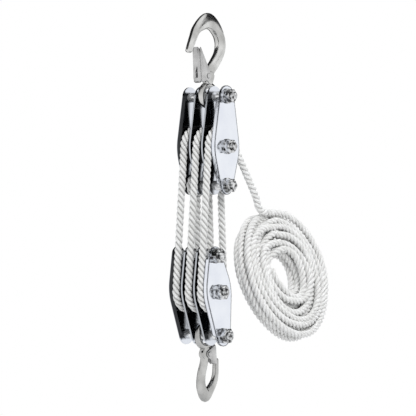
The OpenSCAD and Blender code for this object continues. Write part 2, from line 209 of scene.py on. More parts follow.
# Waves in the turns' radius and along the coil's axis: (height in metres, waves a turn, phase a turn)
SWAYS = ((0.0021, 2, 1.7), (0.0013, 3, 2.9))
DRIFTS = ((0.0016, 1, 2.3), (0.0009, 2, 1.1))
# Most that a turn sways outwards: this share of its distance from the outermost turn, and this more
SWAY_SHARE, SWAY_MORE = 0.5, 0.0004


def axle(kind):
    return Vector(JOINTS[f"{kind}_sheave_1_spin"]["pos_m"])


def channel_x(k):
    lo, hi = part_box(f"upper_sheave_{k}")
    return (lo.x + hi.x) / 2


def bolt_z(node):
    lo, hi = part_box(node)
    return (lo.z + hi.z) / 2


UPPER, LOWER = axle("upper"), axle("lower")
# Radius of the rope's centre line on a sheave, and how far the line between the axles leans
PITCH_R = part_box("upper_rope_wraps")[1].z - UPPER.z - ROPE_R
TILT = math.atan2(UPPER.y - LOWER.y, UPPER.z - LOWER.z)
DEAD_AT = Vector((channel_x(1), 0.0, bolt_z("upper_rope_bolt")))


def rim(k, at, a):
    """The rope's centre on sheave k of the axle at the given point, at angle a."""
    return Vector((channel_x(k), at.y + PITCH_R * math.cos(a), at.z + PITCH_R * math.sin(a)))


def arc(k, at, a0, a1):
    n = max(6, int(abs(a1 - a0) * PITCH_R / STEP))
    return [rim(k, at, a0 + (a1 - a0) * i / n) for i in range(n + 1)]


def line(a, b):
    n = max(2, int((b - a).length / STEP))
    return [a.lerp(b, i / n) for i in range(n + 1)]


def coil_frame():
    """Two axes in the plane of the coil's turns, and the coil's own axis."""
    n = Vector((
        math.cos(COIL_LEAN) * math.cos(COIL_TURN),
        math.cos(COIL_LEAN) * math.sin(COIL_TURN),
        math.sin(COIL_LEAN),
    ))
    e1 = Vector((-math.sin(COIL_TURN), math.cos(COIL_TURN), 0.0))
    return e1, n.cross(e1), n


def waves(kinds, theta, turn):
    return sum(height * math.sin(count * theta + phase * turn) for height, count, phase in kinds)


def coil_points():
    """The turns of the coil, from the top of the outermost turn inwards, clockwise as seen from +X."""
    e1, e2, n = coil_frame()
    slots = []
    for j in range(COIL_LAYERS):
        r = COIL_OUT + (COIL_IN - COIL_OUT) * j / (COIL_LAYERS - 1)
        rows = COIL_ROWS if j % 2 == 0 else COIL_ROWS[::-1]
        slots += [(r, a) for a in rows]
    out = []
    for i, (r, a) in enumerate(slots):
        next_r, next_a = slots[min(i + 1, len(slots) - 1)]
        steps = COIL_STEPS if i < len(slots) - 1 else int(COIL_STEPS * LAST_TURN)
        for s in range(steps):
            t = s / COIL_STEPS
            k = min(max((t - CROSS_FROM) / CROSS_OVER, 0.0), 1.0)
            k = k * k * (3 - 2 * k)
            theta = math.pi / 2 - 2 * math.pi * t
            sway = min(waves(SWAYS, theta, i), (COIL_OUT - r) * SWAY_SHARE + SWAY_MORE)
            radius = r + (next_r - r) * k + sway
            along = a + (next_a - a) * k + waves(DRIFTS, theta, i)
            out.append(COIL_AT + (e1 * math.cos(theta) + e2 * math.sin(theta)) * radius + n * along)
    return out


def whole_route():
    """Every stretch of the rope in order, from the eye at the dead end to the end in the coil."""
    front, back = math.pi - TILT, -TILT
    to_dead = DEAD_AT - Vector((channel_x(1), LOWER.y, LOWER.z))
    reach = math.hypot(to_dead.y, to_dead.z)
    dead_angle = math.atan2(to_dead.z, to_dead.y) - math.acos(PITCH_R / reach)
    on_sheave = rim(1, LOWER, dead_angle)
    down = (on_sheave - DEAD_AT).normalized()
    eye_low = DEAD_AT + down * EYE_R
    splice_end = eye_low + down * (SPLICE + ROPE_R)
    start = math.atan2(down.z, down.y)
    turns = [2 * math.pi * i / EYE_STEPS for i in range(EYE_STEPS)]
    eye = [DEAD_AT + Vector((0.0, math.cos(start + a), math.sin(start + a))) * EYE_R for a in turns]
    stretches = [
        ("rope_eye", "upper_block", eye),
        ("rope_splice", "upper_block", line(eye_low, splice_end)),
        ("rope_run_dead", "runs", line(splice_end, on_sheave)),
        ("rope_under_1", "lower_block", arc(1, LOWER, dead_angle, front - 2 * math.pi)),
    ]
    for k in (1, 2, 3):
        stretches.append((f"rope_run_front_{k}", "runs", line(rim(k, LOWER, front), rim(k, UPPER, front))))
        last = back if k < 3 else HAUL_ANGLE
        stretches.append((f"rope_over_{k}", "upper_block", arc(k, UPPER, front, last)))
        if k < 3:
            run_down = line(rim(k, UPPER, back), rim(k + 1, LOWER, back))
            stretches.append((f"rope_run_back_{k}", "runs", run_down))
            under = arc(k + 1, LOWER, back, front - 2 * math.pi)
            stretches.append((f"rope_under_{k + 1}", "lower_block", under))
    coil = coil_points()
    # The route's first point is the one at which the rope leaves the sheave
    to_coil = [rim(3, UPPER, HAUL_ANGLE)] + [Vector(p) for p in HAUL_ROUTE[1:]] + [coil[0]]
    stretches.append(("rope_haul_and_coil", "upper_block", smooth(to_coil, HAUL_STEPS) + coil[1:]))
    return stretches


# ---------------------------------------------------------------- rope mesh
STRANDS = 3
# A strand's radius as a share of the rope's, and the length in which a strand goes once round
STRAND_SHARE = 0.53
LAY = 0.0235
# Points in each ring of the mesh
AROUND = 24
# Yarns that show round the rope, and how fast they turn along it, in radians a metre
YARNS, YARN_TURN = 7.0, 900.0
# How much thicker the rope is at the splice's start, where it begins to taper and at its end
SPLICE_GIRTH = (1.25, 1.22, 1.0)
SPLICE_TAPER = 0.3
# Length after the last sheave at which the strands' lay turns over
COIL_FROM = 0.135


def length_along(p):
    """The length run at each point of a polyline."""
    return np.concatenate([[0], np.cumsum(np.linalg.norm(np.diff(p, axis=0), axis=1))])


def resample(points):
    """Points STEP apart along a polyline, with both its ends."""
    p = np.array([list(q) for q in points])
    s = length_along(p)
    keep = np.concatenate([[True], np.diff(s) > 1e-9])
    p, s = p[keep], s[keep]
    n = max(4, int(round(s[-1] / STEP)))
    at = np.linspace(0, s[-1], n + 1)
    return np.stack([np.interp(at, s, p[:, i]) for i in range(3)], axis=1)


def normals_along(p):
    """Two normals at each point, carried along the line without twist."""
    t = np.gradient(p, axis=0)
    t /= np.linalg.norm(t, axis=1)[:, None]
    u = np.zeros_like(p)
    seed = np.array([1.0, 0.0, 0.0]) if abs(t[0][0]) < 0.9 else np.array([0.0, 1.0, 0.0])
    u[0] = seed - t[0] * seed.dot(t[0])
    u[0] /= np.linalg.norm(u[0])
    for i in range(1, len(p)):
        v = u[i - 1] - t[i] * u[i - 1].dot(t[i])
        u[i] = v / np.linalg.norm(v)
    return u, np.cross(t, u)


def strand_profile():
    """Angle, radius and depth in the groove between strands at each point round the rope."""
    a = ROPE_R * STRAND_SHARE
    c = ROPE_R - a
    sector = 2 * math.pi / STRANDS
    angles = np.arange(AROUND) * 2 * math.pi / AROUND
    phi = (angles + sector / 2) % sector - sector / 2
    radius = c * np.cos(phi) + np.sqrt(np.maximum(a * a - (c * np.sin(phi)) ** 2, 0))
    return angles, radius, np.abs(phi) / (sector / 2)


def laid_rope(name, p, u, v, s, girth, turns_back):
    """A mesh of laid rope along the points p, with normals u and v; s is the length from the rope's own end.
    Beyond the length turns_back the strands wind the other way, as the photograph shows them in the coil."""
    angles, radius, groove = strand_profile()
    turn = -2 * math.pi * s / LAY
    if turns_back is not None:
        turn = np.where(s > turns_back, turn + 4 * math.pi * (s - turns_back) / LAY, turn)
    rings = len(p)
    ang = angles[None, :] + turn[:, None]
    rad = radius[None, :, None] * girth[:, None, None]
    outward = np.cos(ang)[..., None] * u[:, None, :] + np.sin(ang)[..., None] * v[:, None, :]
    verts = (p[:, None, :] + rad * outward).reshape(-1, 3).tolist() + [p[0].tolist(), p[-1].tolist()]
    faces = band(rings, AROUND)
    first, last = rings * AROUND, rings * AROUND + 1
    for j in range(AROUND):
        faces.append((first, (j + 1) % AROUND, j))
        faces.append((last, (rings - 1) * AROUND + j, (rings - 1) * AROUND + (j + 1) % AROUND))
    o = new_mesh(name, verts, faces)
    yarn = np.sin(np.tile(angles, rings) * YARNS + np.repeat(s, AROUND) * YARN_TURN)
    for key, values in (("groove", np.tile(groove, rings)), ("yarn", yarn)):
        attribute = o.data.attributes.new(key, "FLOAT", "POINT")
        attribute.data.foreach_set("value", np.concatenate([values, [0, 0]]))
    o.data.update()
    return o


def make_rope():
    """All stretches as (object, body, points) by name, with one run of lay through them all."""
    joined, spans = [], []
    for name, body, points in whole_route():
        p = resample(points)
        start = len(joined) - 1 if joined else 0
        joined += (p if not joined else p[1:]).tolist()
        spans.append((name, body, start, len(joined)))
    p = np.array(joined)
    s = length_along(p)
    u, v = normals_along(p)
    made = {}
    for name, body, a, b in spans:
        girth = np.ones(b - a)
        if name == "rope_splice":
            girth = np.interp(np.arange(b - a), [0, (b - a) * SPLICE_TAPER, b - a - 1], SPLICE_GIRTH)
        turns_back = s[a] + COIL_FROM if name == "rope_haul_and_coil" else None
        made[name] = (laid_rope(name, p[a:b], u[a:b], v[a:b], s[a:b], girth, turns_back), body, p[a:b])
    return made


ROPE = make_rope()
for piece, body, _ in ROPE.values():
    if body == "runs":
        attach(piece, "upper_block")
        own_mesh(piece)
    else:
        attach(piece, body)
for name, node in (
    ("rope_over_1", "upper_rope_wraps"), ("rope_under_1", "lower_rope_wraps"),
    ("rope_run_front_1", "rope_runs"), ("rope_eye", "rope_dead_end"),
):
    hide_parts(node)
haul, _, haul_points = ROPE["rope_haul_and_coil"]
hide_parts("haul_line", "rope_coil")


# ---------------------------------------------------------------- hooks and latches
# Millimetres from the hook's bolt, y across the hook and z towards its bow; the bottom hook is turned over
EYE_Z, EYE_RING_R, EYE_WIRE = 2.2, 13.5, 9.0
EYE_AROUND, EYE_SIDES = 56, 20
# Height of the eye's top, from which a bow's stations count
BOW_BASE = EYE_Z + EYE_RING_R + EYE_WIRE / 2
BOW_STEPS = 6
BOW_SIDES = 32
# Exponent of a section's corners, where 1 is an ellipse and less is squarer
BOW_SQUARE = 0.84
# How much thicker a section is towards the inside of the bow
BOW_INSIDE = 0.12
# The rings that round off the tip, as shares of its length past the last station
TIP_RINGS = (0.35, 0.7, 0.92)
TIP_LENGTH = 2.6
# A bow's stations from the eye to the tip: (y, z, width in the plane, thickness)
TOP_BOW = [
    (0, -7, 10, 8), (0, 0, 15, 9.4), (3.5, 14, 15, 9.6), (11, 22.5, 14.8, 11.5), (21.5, 36, 14.5, 12.6),
    (25.6, 49.5, 14.8, 13.2), (22, 63, 15.5, 13.2), (11.5, 75, 18.5, 13.6), (0, 80, 21.5, 13.8),
    (-11.5, 76.5, 18, 12.8), (-24.5, 67, 12, 11.8), (-30.5, 57, 9.8, 10.5), (-34.2, 49.5, 9.2, 10.2),
    (-37.2, 43, 8.6, 10), (-39, 38.5, 7.8, 9.8),
]
BOTTOM_BOW = [
    (0, -7, 9, 7.2), (0, 0, 12, 8), (1, 13, 12, 8.2), (3.5, 21.5, 12, 8.8), (6.5, 30, 12, 9.6),
    (8.2, 41, 12.5, 10), (6.2, 51.5, 14.5, 10.5), (-1, 60, 17.5, 10.5), (-10.5, 53.5, 12.5, 10),
    (-18.7, 43.5, 8.7, 9.5), (-22.2, 33, 6.8, 9), (-22.8, 22, 6.2, 8.5), (-23.2, 14.5, 5.4, 8),
]
# The lug that carries the latch, as three rounds: at the pin, on the shank beside it, and lower on the shank
PIN_LUG_R = 5.2
LUG_HIGH_R, LUG_HIGH_Y = 6.5, 1
LUG_LOW_R, LUG_DROP = 5, 6
LUG_EDGE = 0.8
# A latch's sheet, its play beside the lug, and the rounding of its cheeks' edges
SHEET = 1.2
LATCH_PLAY = 0.35
CHEEK_EDGE = 0.3
# A cheek's rounds at the web's foot and top: (shift in y, shift in z, radius)
CHEEK_FOOT = (1.2, 2.2, 1.2)
CHEEK_TOP = (1.0, -1.2, 0.9)
# Where between its ends an edge's rounding has its middle ring
EDGE_SOFTNESS = 0.3
# Rows of the web from foot to top, as shares of its length, with the share of its width at each
WEB_ROWS = (
    (0.0, 0.55), (0.05, 0.86), (0.14, 1.0), (0.3, 1.0), (0.5, 1.0), (0.7, 1.0),
    (0.86, 1.0), (0.95, 0.86), (1.0, 0.55),
)
WEB_COLUMNS = 9
WEB_CURL = 1.1
LIP, LIP_FROM, LIP_SPAN = 1.6, 0.86, 0.14
# The web's slot: the faces above this row, from the first of these columns to the second
SLOT_ROW, SLOT_FIRST, SLOT_END = 2, 3, 5
# kind, bow, half the lug's thickness, the web's foot and top, half its width at both, and the hook's finish
HOOK_SHAPES = (
    ("top", TOP_BOW, 5.25, (-21.0, 17.8), (-23.8, 64.5), (7.4, 5.6), "hook"),
    ("bottom", BOTTOM_BOW, 4.04, (-16.5, 13.5), (-19.6, 40.5), (5.6, 5.0), "hook_low"),
)


def hook_sign(kind):
    return 1 if kind == "top" else -1


def hook_place(kind):
    """From a hook's own (x, y, z) in millimetres to the frame; the bottom hook hangs the other way up."""
    at = Vector(JOINTS["upper_block_swing" if kind == "top" else "bottom_hook_swing"]["pos_m"])
    sign = hook_sign(kind)
    return lambda x, y, z: (at.x + x / 1000, at.y + sign * y / 1000, at.z + sign * z / 1000)


def squarer(v):
    return math.copysign(abs(v) ** BOW_SQUARE, v)


def bow_mesh(name, stations, put):
    path = smooth([np.array(q, float) for q in stations], BOW_STEPS)
    rings = []
    for i, p in enumerate(path):
        a, b = path[max(i - 1, 0)], path[min(i + 1, len(path) - 1)]
        run = np.array([b[0] - a[0], b[1] - a[1]])
        rings.append((p, run / np.linalg.norm(run)))
    end, run = rings[-1]
    for k in TIP_RINGS:
        shrink = math.sqrt(1 - k * k)
        y, z = end[0] + run[0] * k * TIP_LENGTH, end[1] + run[1] * k * TIP_LENGTH
        rings.append((np.array([y, z, end[2] * shrink, end[3] * shrink]), run))
    verts = []
    for p, run in rings:
        for j in range(BOW_SIDES):
            a = 2 * math.pi * j / BOW_SIDES
            w = p[2] / 2 * squarer(math.cos(a))
            t = p[3] / 2 * (1 + BOW_INSIDE * math.cos(a)) * squarer(math.sin(a))
            verts.append(put(t, p[0] - w * run[1], BOW_BASE + p[1] + w * run[0]))
    n = BOW_SIDES
    faces = [(a, d, c, b) for a, b, c, d in band(len(rings), n)]
    faces.append(tuple(range(n)))
    faces.append(tuple(reversed(range((len(rings) - 1) * n, len(rings) * n))))
    return new_mesh(name, verts, faces)


def eye_mesh(name, put):
    verts, faces = [], []
    for i in range(EYE_AROUND):
        a = 2 * math.pi * i / EYE_AROUND
        for j in range(EYE_SIDES):
            b = 2 * math.pi * j / EYE_SIDES
            r = EYE_RING_R + EYE_WIRE / 2 * math.cos(b)
            verts.append(put(EYE_WIRE / 2 * math.sin(b), r * math.cos(a), EYE_Z + r * math.sin(a)))
            here, there = i * EYE_SIDES, (i + 1) % EYE_AROUND * EYE_SIDES
            j2 = (j + 1) % EYE_SIDES
            faces.append((here + j, there + j, there + j2, here + j2))
    return new_mesh(name, verts, faces)


def left_turn(a, b, c):
    """Above zero where the way from a over b to c turns left."""
    return (b[0] - a[0]) * (c[1] - a[1]) - (b[1] - a[1]) * (c[0] - a[0])


def half_hull(points):
    out = []
    for p in points:
        while len(out) > 1 and left_turn(out[-2], out[-1], p) <= 0:
            out.pop()
        out.append(p)
    return out


def hull(circles, count=40):
    """Outline round circles given as (y, z, radius), as the convex hull of points on them."""
    points = set()
    for y, z, r in circles:
        for i in range(count):
            a = 2 * math.pi * i / count
            points.add((round(y + r * math.cos(a), 6), round(z + r * math.sin(a), 6)))
    points = sorted(points)
    return half_hull(points)[:-1] + half_hull(points[::-1])[:-1]


def slab(name, circles, x0, x1, edge, put):
    """A plate between x0 and x1 with the outline round the circles and its edges rounded off."""
    outline = hull(circles)
    mid = np.mean(outline, axis=0)
    soft = edge * EDGE_SOFTNESS
    low = ((x0, edge), (x0 + soft, soft), (x0 + edge, 0.0))
    high = ((x1 - edge, 0.0), (x1 - soft, soft), (x1, edge))
    rings = []
    for x, inset in low + high:
        ring = []
        for p in outline:
            d = np.array(p) - mid
            y, z = mid + d * max(1 - inset / max(np.linalg.norm(d), 1e-6), 0.1)
            ring.append(put(x, y, z))
        rings.append(ring)
    return ringed(name, rings, flat_sides=False)


def make_hook(kind, bow, pin, lug_half, put):
    """A forged hook: its bow, its eye and the lug that carries the latch's pin."""
    circles = [(LUG_HIGH_Y, pin[1], LUG_HIGH_R), (*pin, PIN_LUG_R), (0, pin[1] - LUG_DROP, LUG_LOW_R)]
    pieces = [
        bow_mesh(f"{kind}_hook_bow", bow, put),
        eye_mesh(f"{kind}_hook_eye", put),
        slab(f"{kind}_hook_lug", circles, -lug_half, lug_half, LUG_EDGE, put),
    ]
    return join(f"{kind}_hook_forged", pieces)


def web_mesh(name, foot, top, halves, put):
    """A latch's web: a sheet from its foot to its top with curled sides, a lip at the top and a slot."""
    run = np.array(top) - np.array(foot)
    length = float(np.linalg.norm(run))
    along = run / length
    out = np.array([-along[1], along[0]])
    verts, faces = [], []
    for skin in (0.0, SHEET):
        for row, share in WEB_ROWS:
            half = halves[0] + (halves[1] - halves[0]) * row
            lip = LIP * max(0.0, (row - LIP_FROM) / LIP_SPAN) ** 2
            for c in np.linspace(-1, 1, WEB_COLUMNS):
                curl = WEB_CURL * abs(c) ** 4
                at = np.array(foot) + along * length * row + out * (skin + lip - curl)
                verts.append(put(c * half * share, at[0], at[1]))
    rows, columns = len(WEB_ROWS), WEB_COLUMNS
    size = rows * columns
    for i in range(rows - 1):
        for j in range(columns - 1):
            if i == SLOT_ROW and SLOT_FIRST <= j < SLOT_END:
                continue
            a = i * columns + j
            faces.append((a, a + columns, a + columns + 1, a + 1))
            faces.append((size + a, size + a + 1, size + a + columns + 1, size + a + columns))
    border = [(i, 0) for i in range(rows)] + [(rows - 1, j) for j in range(1, columns)]
    border += [(i, columns - 1) for i in range(rows - 2, -1, -1)]
    border += [(0, j) for j in range(columns - 2, 0, -1)]
    slot = [(SLOT_ROW, j) for j in range(SLOT_FIRST, SLOT_END + 1)]
    slot += [(SLOT_ROW + 1, j) for j in range(SLOT_END, SLOT_FIRST - 1, -1)]
    for loop in (border, slot):
        for (i, j), (i2, j2) in zip(loop, loop[1:] + loop[:1]):
            a, b = i * columns + j, i2 * columns + j2
            faces.append((a, b, b + size, a + size))
    return new_mesh(name, verts, faces)


def make_latch(kind, pin, lug_half, foot, top, halves, put):
    """A folded latch: a web with two cheeks that run back to the pin."""
    circles = [
        (*pin, PIN_LUG_R),
        (foot[0] + CHEEK_FOOT[0], foot[1] + CHEEK_FOOT[1], CHEEK_FOOT[2]),
        (top[0] + CHEEK_TOP[0], top[1] + CHEEK_TOP[1], CHEEK_TOP[2]),
    ]
    inner = lug_half + LATCH_PLAY
    cheeks = [
        slab(f"{kind}_cheek_{i}", circles, x0, x0 + SHEET, CHEEK_EDGE, put)
        for i, x0 in enumerate((inner, -inner - SHEET))
    ]
    return join(f"{kind}_latch_folded", [web_mesh(f"{kind}_web", foot, top, halves, put)] + cheeks)


# Every metal piece that scene.py makes, with its material
METAL = []
for kind, bow, lug_half, foot, top, halves, finish in HOOK_SHAPES:
    put = hook_place(kind)
    home = put(0, 0, 0)
    at = JOINTS[f"{kind}_latch_open"]["pos_m"]
    sign = hook_sign(kind)
    pin = sign * (at[1] - home[1]) * 1000, sign * (at[2] - home[2]) * 1000
    hook = make_hook(kind, bow, pin, lug_half, put)
    latch = make_latch(kind, pin, lug_half, foot, top, halves, put)
    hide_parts(f"{kind}_hook")
    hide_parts(f"{kind}_latch")
    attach(hook, f"{kind}_hook")
    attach(latch, f"{kind}_latch")
    METAL += [(hook, finish), (latch, "latch")]

# ---------------------------------------------------------------- nuts and bolts
NUT_SIDES, BOLT_SIDES = 48, 40
# A nut's rings: (0 or 1 for its inner or outer end, distance from it, largest radius as a share of the flats)
NUT_RINGS = ((0, 0.0, 0.515), (0, 0.0008, 0.57), (1, -0.0014, 0.60), (1, -0.0004, 0.49), (1, 0.0, 0.455))
BOLT_R = 0.005
HEAD_H = 0.0016
STACK_HALF = max(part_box("upper_cheek_right")[1].x, -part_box("upper_cheek_left")[0].x)
# Radii as shares of the bolt's: the shank, the thread's crests and roots, and its end
SHANK, CREST, ROOT, END = 0.985, 1.0, 0.86, 0.78
# A bolt's head up to the shank: (x, radius as a share of the bolt's)
HEAD_RINGS = [
    (-STACK_HALF - HEAD_H, 0.7), (-STACK_HALF - HEAD_H * 0.6, 1.35),
    (-STACK_HALF - 0.0001, 1.5), (-STACK_HALF, SHANK),
]
# Where the thread starts inside the nut, its step, how far it runs past the CAD bolt, and its end's chamfer
THREAD_IN = 0.0006
THREAD_STEP = 0.00055
THREAD_PAST = 0.0016
THREAD_END = 0.0004


def circle(x, y, z, r, n):
    return [(x, y + r * math.cos(a), z + r * math.sin(a)) for a in (2 * math.pi * j / n for j in range(n))]


def make_nut(node):
    """A hexagon nut with chamfered corners."""
    lo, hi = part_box(node)
    y, z = (lo.y + hi.y) / 2, (lo.z + hi.z) / 2
    flats = min(hi.y - lo.y, hi.z - lo.z)
    turn = 0.0 if hi.y - lo.y < hi.z - lo.z else math.pi / 6
    rings = []
    for end, distance, most in NUT_RINGS:
        ring = []
        for j in range(NUT_SIDES):
            a = 2 * math.pi * j / NUT_SIDES
            b = (a - turn + math.pi / 6) % (math.pi / 3) - math.pi / 6
            r = min(flats / 2 / math.cos(b), flats * most)
            ring.append(((lo.x, hi.x)[end] + distance, y + r * math.cos(a), z + r * math.sin(a)))
        rings.append(ring)
    return ringed(f"{node}_chamfered", rings, flat_sides=True)


def make_bolt(node, nut_node):
    """A bolt with a low head, and with a threaded end that shows past its nut."""
    lo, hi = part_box(nut_node)
    y, z = (lo.y + hi.y) / 2, (lo.z + hi.z) / 2
    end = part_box(node)[1].x + THREAD_PAST
    x, turns = hi.x - THREAD_IN, 0
    rings = HEAD_RINGS + [(x, SHANK)]
    while x < end:
        x, turns = x + THREAD_STEP, turns + 1
        rings.append((x, CREST if turns % 2 else ROOT))
    rings.append((end + THREAD_END, END))
    circles = [circle(x, y, z, BOLT_R * share, BOLT_SIDES) for x, share in rings]
    return ringed(f"{node}_low_head", circles, flat_sides=True)


for nut_node in [n for n in frame["nodes"] if n.endswith("_nut")]:
    bolt_node = nut_node.replace("_nut", "_bolt")
    for piece, node in ((make_nut(nut_node), nut_node), (make_bolt(bolt_node, nut_node), bolt_node)):
        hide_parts(node)
        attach(piece, f"{nut_node.split('_')[0]}_block")
        METAL.append((piece, "fastener"))


# ---------------------------------------------------------------- shader nodes
def new_material(name):
    m = bpy.data.materials.new(name)
    m.use_nodes = True
    nt = m.node_tree
    return m, nt, nt.nodes["Principled BSDF"]


def add(nt, kind, **settings):
    n = nt.nodes.new(kind)
    for key, value in settings.items():
        setattr(n, key, value)
    return n


def calc(nt, operation, *values):
    """A Math node's result, from sockets and numbers."""
    n = add(nt, "ShaderNodeMath", operation=operation)
    for socket, value in zip(n.inputs, values):
        if isinstance(value, bpy.types.NodeSocket):
            nt.links.new(value, socket)
        else:
            socket.default_value = value
    return n.outputs[0]


def noise(nt, scale, detail):
    """Noise in the piece's own metres."""
    coord = add(nt, "ShaderNodeTexCoord")
    n = add(nt, "ShaderNodeTexNoise")
    n.inputs["Scale"].default_value = scale
    n.inputs["Detail"].default_value = detail
    nt.links.new(coord.outputs["Object"], n.inputs["Vector"])
    return n.outputs["Fac"]


def ramp(nt, fac, stops):
    r = add(nt, "ShaderNodeValToRGB")
    e = r.color_ramp.elements
    while len(e) < len(stops):
        e.new(0.5)
    for el, (pos, col) in zip(e, stops):
        el.position = pos
        el.color = (*col, 1)
    nt.links.new(fac, r.inputs["Fac"])
    return r.outputs["Color"]


def remap(nt, fac, lo, hi, a=0.3, b=0.7):
    """Maps a to lo and b to hi, and stays at them outside."""
    m = add(nt, "ShaderNodeMapRange")
    for k, val in (("From Min", a), ("From Max", b), ("To Min", lo), ("To Max", hi)):
        m.inputs[k].default_value = val
    nt.links.new(fac, m.inputs["Value"])
    return m.outputs["Result"]


def mixed(nt, factor, a, b, **settings):
    """The mix of two colours; each of the three is a socket or a value."""
    n = add(nt, "ShaderNodeMix", data_type="RGBA", **settings)
    for socket, value in ((n.inputs["Factor"], factor), (n.inputs[6], a), (n.inputs[7], b)):
        if isinstance(value, bpy.types.NodeSocket):
            nt.links.new(value, socket)
        else:
            socket.default_value = value
    return n.outputs[2]


def bump(nt, bsdf, height, strength, distance):
    b = add(nt, "ShaderNodeBump")
    b.inputs["Strength"].default_value = strength
    b.inputs["Distance"].default_value = distance
    nt.links.new(height, b.inputs["Height"])
    nt.links.new(b.outputs["Normal"], bsdf.inputs["Normal"])


# ---------------------------------------------------------------- materials
def metal(
    name, dark, light, rough, scale, bump_strength, bump_scale, bump_distance, metallic=1.0, stops=(0.3, 0.7),
):
    """Clouded metal, dark to light over the stops, with roughness between the two values of rough."""
    m, nt, bsdf = new_material(name)
    bsdf.inputs["Metallic"].default_value = metallic
    cloud = noise(nt, scale, 5.0)
    nt.links.new(ramp(nt, cloud, list(zip(stops, (dark, light)))), bsdf.inputs["Base Color"])
    nt.links.new(remap(nt, noise(nt, scale * 2.3, 6.0), *rough), bsdf.inputs["Roughness"])
    bump(nt, bsdf, noise(nt, bump_scale, 3.0), bump_strength, bump_distance)
    return m


def paint_edge_reflection(m, radius, dark):
    """Paints a dark reflection into a material's base colour along the sharp edges of its piece."""
    nt = m.node_tree
    color = nt.nodes["Principled BSDF"].inputs["Base Color"]
    soft = add(nt, "ShaderNodeBevel", samples=8)
    soft.inputs["Radius"].default_value = radius
    true = add(nt, "ShaderNodeNewGeometry")
    same = add(nt, "ShaderNodeVectorMath", operation="DOT_PRODUCT")
    nt.links.new(soft.outputs["Normal"], same.inputs[0])
    nt.links.new(true.outputs["True Normal"], same.inputs[1])
    mask = remap(nt, same.outputs["Value"], 1.0, 0.0, 0.90, 0.998)
    nt.links.new(mixed(nt, mask, color.links[0].from_socket, (*dark, 1)), color)


def shaded_plate(name, shade_to, painted_edge_light):
    """Plating with painted shade and dark reflections inside the channels, where the sheaves and the rope run,
    and bright outside. The painted shade turns from dark to bright between the two y that it is given. Its edges
    and the faces that look left have the painted edge light that it is given, apart from the left cheek's outer
    face, which is fully bright."""
    m, nt, bsdf = new_material(name)
    bsdf.inputs["Metallic"].default_value = 1.0
    coord = add(nt, "ShaderNodeTexCoord")
    at = add(nt, "ShaderNodeSeparateXYZ")
    nt.links.new(coord.outputs["Object"], at.inputs["Vector"])
    face = add(nt, "ShaderNodeNewGeometry")
    side = add(nt, "ShaderNodeSeparateXYZ")
    nt.links.new(face.outputs["Normal"], side.inputs["Vector"])
    outer = remap(nt, at.outputs["X"], 1.0, 0.0, -STACK_HALF, OUTER_SKIN - STACK_HALF)
    # Painted shade and dark reflection: dark towards the front of the channels, bright towards the back on faces
    # that look right
    back = remap(nt, at.outputs["Y"], 0.0, 0.85, *shade_to)
    across = remap(nt, side.outputs["X"], 0.0, 1.0)
    # Painted light on the edges and on the faces that look left
    edge = remap(nt, side.outputs["X"], painted_edge_light, 0.0, 0.0, 0.4)
    # The painted shade stops past the hook bolts
    away = calc(nt, "ABSOLUTE", calc(nt, "SUBTRACT", at.outputs["Z"], ENDS_MIDDLE))
    ends = remap(nt, away, 0.0, 0.9, ENDS_AWAY, ENDS_AWAY + ENDS_FADE)
    inside = calc(nt, "MAXIMUM", calc(nt, "MULTIPLY", back, across), edge)
    bright = calc(nt, "MAXIMUM", calc(nt, "MAXIMUM", inside, outer), ends)
    cloud = calc(nt, "MULTIPLY_ADD", noise(nt, 55, 5.0), 0.16, bright)
    nt.links.new(ramp(nt, cloud, PLATE_SHADE_TONES), bsdf.inputs["Base Color"])
    nt.links.new(remap(nt, noise(nt, 80, 6.0), 0.07, 0.14), bsdf.inputs["Roughness"])
    bump(nt, bsdf, noise(nt, 260, 3.0), 0.05, 0.0002)
    return m


def rope_material(name, groove_shade_ramp):
    """White rope with shade painted into the grooves between its strands, with its yarns as a bump."""
    m, nt, bsdf = new_material(name)
    bsdf.inputs["Roughness"].default_value = 0.62
    bsdf.inputs["Sheen Weight"].default_value = 0.25
    bsdf.inputs["Sheen Roughness"].default_value = 0.5
    groove = add(nt, "ShaderNodeAttribute", attribute_name="groove")
    yarn = add(nt, "ShaderNodeAttribute", attribute_name="yarn")
    # Painted shade, darker into the grooves between the strands
    shade = ramp(nt, groove.outputs["Fac"], groove_shade_ramp)
    cloud = ramp(nt, noise(nt, 90.0, 4.0), [(0.35, (0.90, 0.90, 0.89)), (0.65, (1.0, 1.0, 1.0))])
    nt.links.new(mixed(nt, 1.0, shade, cloud, blend_type="MULTIPLY"), bsdf.inputs["Base Color"])
    bump(nt, bsdf, yarn.outputs["Fac"], 0.35, 0.0004)
    return m


# The plates' painted shade ends past the hook bolts: this far past them they begin to be bright, over this length
ENDS_PAST, ENDS_FADE = 0.004, 0.004
HOOK_BOLTS = [Vector(JOINTS[j]["pos_m"]).z for j in ("upper_block_swing", "bottom_hook_swing")]
ENDS_MIDDLE = sum(HOOK_BOLTS) / 2
ENDS_AWAY = (HOOK_BOLTS[0] - HOOK_BOLTS[1]) / 2 + ENDS_PAST
# Depth in which the left cheek's outer face counts as outside
OUTER_SKIN = 0.0008
# The y between which the painted shade on the upper and the lower block's plates turns bright, and the painted
# light of their edges
UPPER_SHADE_Y, LOWER_SHADE_Y = (-0.006, 0.000), (-0.014, -0.008)
CHEEK_PAINTED_LIGHT, DIVIDER_PAINTED_LIGHT = 0.03, 0.60
